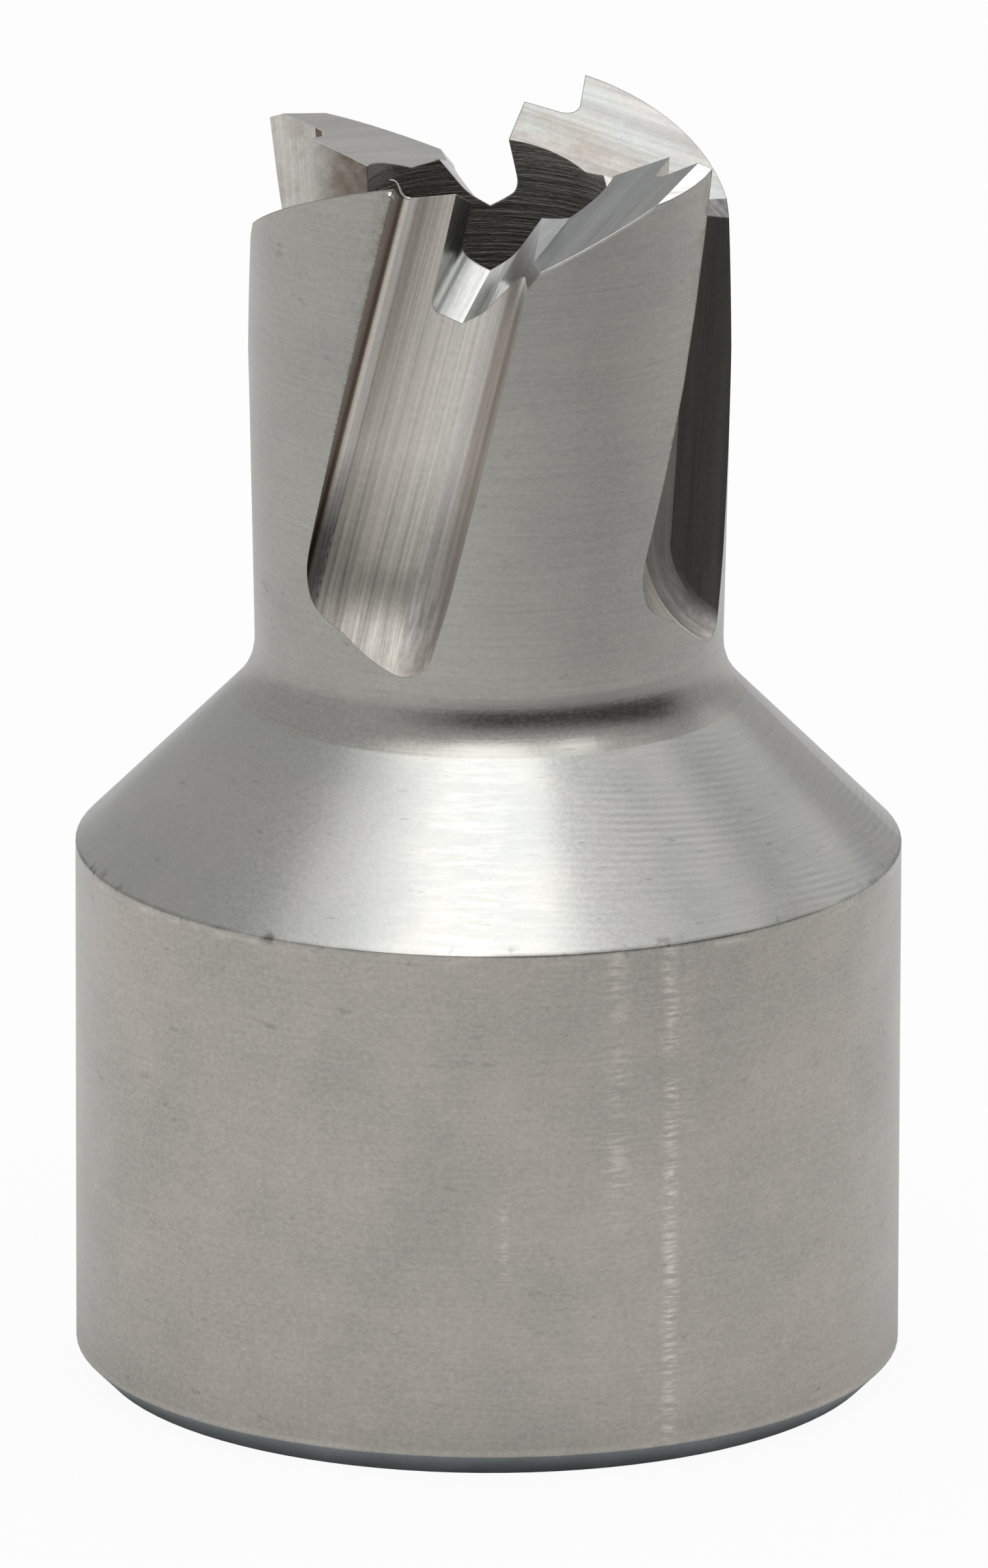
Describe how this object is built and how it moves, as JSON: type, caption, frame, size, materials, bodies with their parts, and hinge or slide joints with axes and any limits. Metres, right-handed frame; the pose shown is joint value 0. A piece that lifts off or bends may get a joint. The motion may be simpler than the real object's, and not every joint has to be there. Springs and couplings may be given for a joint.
{
  "type": "annular cutter",
  "caption": "Stubby hollow-core drilling tool with a fluted, stepped-tooth crown on a short plain round shank that takes a threaded arbor in its base.",
  "frame": {"origin": "centre of the shank's flat end, on the plane that the cutter stands on", "axes": "+Z along the cutter's axis, from the shank's end up to the teeth; the first tooth's rake edge stands left of the front, -Y"},
  "size_m": [0.019, 0.019, 0.0293],
  "materials": {
    "tool_steel": "fine turned and ground steel, satin, lightly worn"
  },
  "bodies": {
    "root": {"cutter_body": "tool_steel"}
  },
  "joints": []
}
